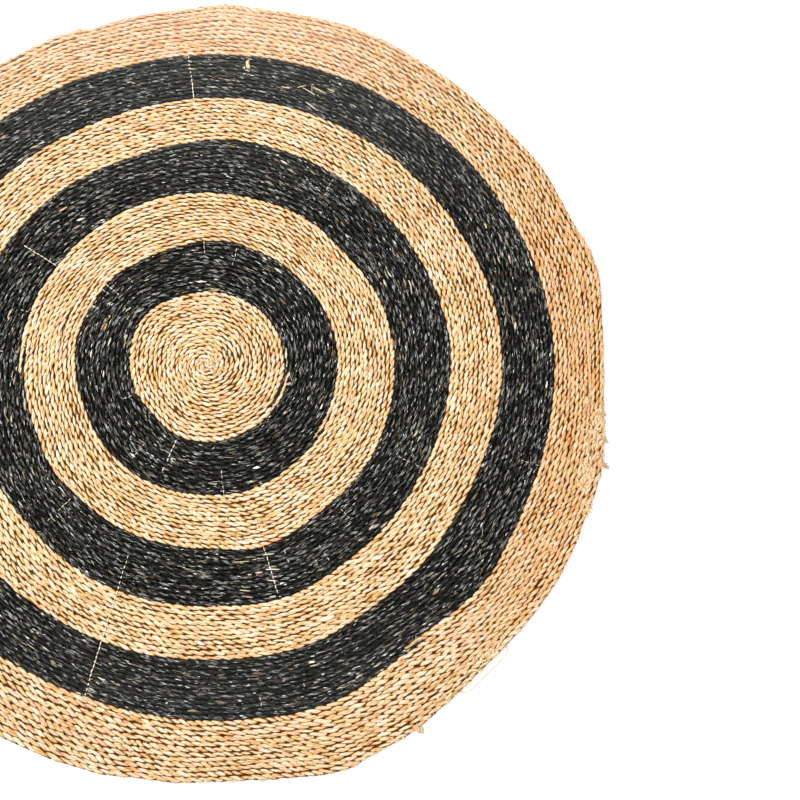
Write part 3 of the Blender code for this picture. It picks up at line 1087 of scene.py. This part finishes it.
# Black dye at the low end, painted highlights at the high end.
BLACK_AND_PAINTED_SHEEN_PALETTE = (
    (0.45, (0.001, 0.001, 0.001)),
    (0.68, (0.002, 0.002, 0.0015)),
    (0.79, (0.006, 0.006, 0.005)),
    (0.89, (0.027, 0.027, 0.024)),
    (1.0, (0.25, 0.246, 0.23)),
)
BROWN_SHARE = (0.78, 1.0, 0.0, 0.5)
BROWN_COLOUR = (0.050, 0.034, 0.022, 1.0)
# Pale grey dashes: rubbed and undyed fibres, and painted sheen.
RUBBED_AND_SHEEN_CELLS = (110.0, 12.0, 11.0)
RUBBED_AND_SHEEN_SHARE = (0.92, 1.0)
BARE_MOST = 0.9
RUBBED_AND_SHEEN_COLOUR = (0.36, 0.352, 0.32, 1.0)
FLECK_PATCHES = 14.0
FLECK_LIMIT = (0.38, 0.68, 0.995, 0.955)
FLECK_EDGE = 0.02
FLECK_CELLS = (92.0, 6.5, 7.0)
FLECK_PALETTE = (
    (0.0, (0.14, 0.07, 0.045)),
    (0.25, (0.29, 0.28, 0.15)),
    (0.5, (0.55, 0.39, 0.25)),
    (0.7, (0.60, 0.52, 0.35)),
    (1.0, (0.88, 0.84, 0.70)),
)
GLINT_CELLS = (240.0, 22.0, 15.0)
GLINT_SHARE = (0.984, 0.993, 0.0, 0.95)
GLINT_COLOUR = (0.90, 0.89, 0.82, 1.0)
# Painted shade down between the black turns and in their grooves.
BLACK_PIT_SHADE = (0.003, 0.003, 0.002, 1.0)
# Painted glare that greys the black at the top and the front.
BLACK_TOP_GLARE_SHARE = 0.2
BLACK_FRONT_GLARE_SHARE = 0.07
BLACK_GLARE_COLOUR = (0.11, 0.115, 0.11, 1.0)
BLACK_ROUGHNESS = (0.35, 0.65, 0.7, 0.45)
BLACK_GLOSS = 0.09


def black_material():
    shader = Shader("black_seagrass")
    height = object_height(shader)
    lines = fibre_lines(shader, *BLACK_LINES)
    blades = shader.cells(shader.rope_place(*BLACK_BLADES))
    # Painted sheen: paler greys along the fibre streaks and on the plies' crowns stand in for highlights.
    crown_highlight = shader.math("MULTIPLY", shader.spread(height, *HIGHLIGHT_CROWNS), CROWN_PAINTED_SHEEN)
    painted_sheen = shader.math("ADD", shader.math("MULTIPLY", lines, LINE_PAINTED_SHEEN), crown_highlight)
    painted_sheen = shader.math("ADD", painted_sheen, shader.math("MULTIPLY", blades.outputs[0], BLADE_PAINTED_SHEEN))
    colour = shader.ramp(painted_sheen, BLACK_AND_PAINTED_SHEEN_PALETTE)
    colour = shader.mix(shader.spread(blades.outputs[1], *BROWN_SHARE), colour, BROWN_COLOUR)
    # Pale grey dashes, partly rubbed fibres and partly painted sheen.
    rubbed_and_sheen = shader.cells(shader.rope_place(*RUBBED_AND_SHEEN_CELLS))
    pale = shader.spread(rubbed_and_sheen.outputs[0], *RUBBED_AND_SHEEN_SHARE)
    colour = shader.mix(shader.math("MULTIPLY", pale, BARE_MOST), colour, RUBBED_AND_SHEEN_COLOUR)
    place_on_object = shader.node("TexCoord").outputs["Object"]
    patches = shader.noise(place_on_object, FLECK_PATCHES, 2.0, dimensions="3D")
    rare = shader.spread(patches, *FLECK_LIMIT)
    flecks = shader.cells(shader.rope_place(*FLECK_CELLS))
    bare = shader.spread(flecks.outputs[0], rare, shader.math("ADD", rare, FLECK_EDGE))
    fleck = shader.ramp(flecks.outputs[1], FLECK_PALETTE)
    colour = shader.mix(shader.math("MULTIPLY", bare, BARE_MOST), colour, fleck)
    glints = shader.cells(shader.rope_place(*GLINT_CELLS))
    colour = shader.mix(shader.spread(glints.outputs[0], *GLINT_SHARE), colour, GLINT_COLOUR)
    # Painted shade between the turns and in the grooves.
    colour = shader.mix(painted_pit_shade(shader, height), colour, BLACK_PIT_SHADE)
    # Painted glare: the black is greyed towards the top and the front.
    split = shader.node("SeparateXYZ", Vector=shader.node("TexCoord").outputs["Object"])
    top = shader.spread(split.outputs[1], *BLACK_TOP_GLARE, 0.0, BLACK_TOP_GLARE_SHARE)
    front = shader.spread(split.outputs[1], *BLACK_FRONT_GLARE, 0.0, BLACK_FRONT_GLARE_SHARE)
    colour = shader.mix(shader.math("MAXIMUM", top, front), colour, BLACK_GLARE_COLOUR)
    shader.principled.inputs["Specular IOR Level"].default_value = BLACK_GLOSS
    return shader.surface(colour, lines, BLACK_ROUGHNESS, 0.8, BUMP_DEPTH)


FIBRE_PALETTE = (
    (0.0, (0.10, 0.055, 0.03)),
    (0.35, (0.34, 0.26, 0.11)),
    (0.6, (0.76, 0.50, 0.28)),
    (0.7, (0.78, 0.60, 0.39)),
    (0.8, (0.77, 0.67, 0.40)),
    (1.0, (0.95, 0.92, 0.82)),
)
GRAIN_SCALE = 900.0
GRAIN_SHARE = (0.35, 0.6, 1.0, 0.0)
GRAIN_TINT = (0.88, 0.76, 0.60, 1.0)
FIBRE_ROUGHNESS = (0.3, 0.7, 0.7, 0.5)
FIBRE_BUMP_DEPTH = 0.0003  # metres


def fibre_material():
    """Bare seagrass and sewing thread, pale or dark by each strand's tone."""
    shader = Shader("bare_fibre")
    tone = shader.node("Attribute", {"attribute_name": "tone"}).outputs["Fac"]
    place_on_object = shader.node("TexCoord").outputs["Object"]
    grain = shader.noise(place_on_object, GRAIN_SCALE, 2.0, dimensions="3D")
    colour = shader.ramp(tone, FIBRE_PALETTE)
    browner = shader.tint(colour, GRAIN_TINT)
    colour = shader.mix(shader.spread(grain, *GRAIN_SHARE), colour, browner)
    return shader.surface(colour, grain, FIBRE_ROUGHNESS, 0.3, FIBRE_BUMP_DEPTH)


def build_floor():
    """A plain white floor under the rug."""
    mesh = bpy.data.meshes.new("floor")
    signs = ((-1, -1), (1, -1), (1, 1), (-1, 1))
    corners = [(x * FLOOR_REACH, y * FLOOR_REACH, 0.0) for x, y in signs]
    mesh.from_pydata(corners, [], [(0, 1, 2, 3)])
    shader = Shader("white_floor")
    shader.principled.inputs["Base Color"].default_value = FLOOR_WHITE
    shader.principled.inputs["Roughness"].default_value = FLOOR_ROUGHNESS
    mesh.materials.append(shader.material)
    floor = bpy.data.objects.new("floor", mesh)
    bpy.context.scene.collection.objects.link(floor)


def add_light(name, location, size, power):
    light = bpy.data.lights.new(name, "AREA")
    light.energy = power
    light.shape = "DISK"
    light.size = size
    lamp = bpy.data.objects.new(name, light)
    lamp.location = location
    direction = -lamp.location
    lamp.rotation_euler = direction.to_track_quat("-Z", "Y").to_euler()
    bpy.context.scene.collection.objects.link(lamp)


def build_studio():
    world = bpy.data.worlds.new("studio")
    world.use_nodes = True
    background = world.node_tree.nodes["Background"]
    background.inputs["Color"].default_value = (1.0, 1.0, 1.0, 1.0)
    background.inputs["Strength"].default_value = ROOM_LIGHT
    bpy.context.scene.world = world
    add_light(*WINDOW)
    add_light(*FILL)
    bpy.context.scene.view_settings.view_transform = "Standard"


def build_camera():
    """The photograph's view: from above, a little to the right and well to the front."""
    camera = bpy.data.cameras.new("camera")
    camera.sensor_width = SENSOR_WIDTH
    camera.lens = LENS
    rig = bpy.data.objects.new("camera", camera)
    x, y, z = CAMERA_PLACE
    rig.location = (x + MIDDLE[0] * MM, y + MIDDLE[1] * MM, z + CROWN_LEVEL)
    rig.rotation_euler = CAMERA_TURN
    bpy.context.scene.collection.objects.link(rig)
    bpy.context.scene.camera = rig


def main():
    build_camera()
    build_studio()
    build_floor()
    finishes = {"natural": natural_material(), "black": black_material()}
    first = 0.0
    tip_steps = 0
    for seed, row in enumerate(ROPES):
        node, _, colour, radius, end_turns, tail_steps, _ = row
        rope = build_rope(row, first, tip_steps, finishes[colour], seed)
        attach(rope, "root")
        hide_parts(node)
        first = end_turns
        tip_steps = tail_steps
    bare = fibre_material()
    threads = build_threads(bare)
    fibres = build_fibres(bare)
    for piece in (threads, fibres):
        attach(piece, "root")


main()
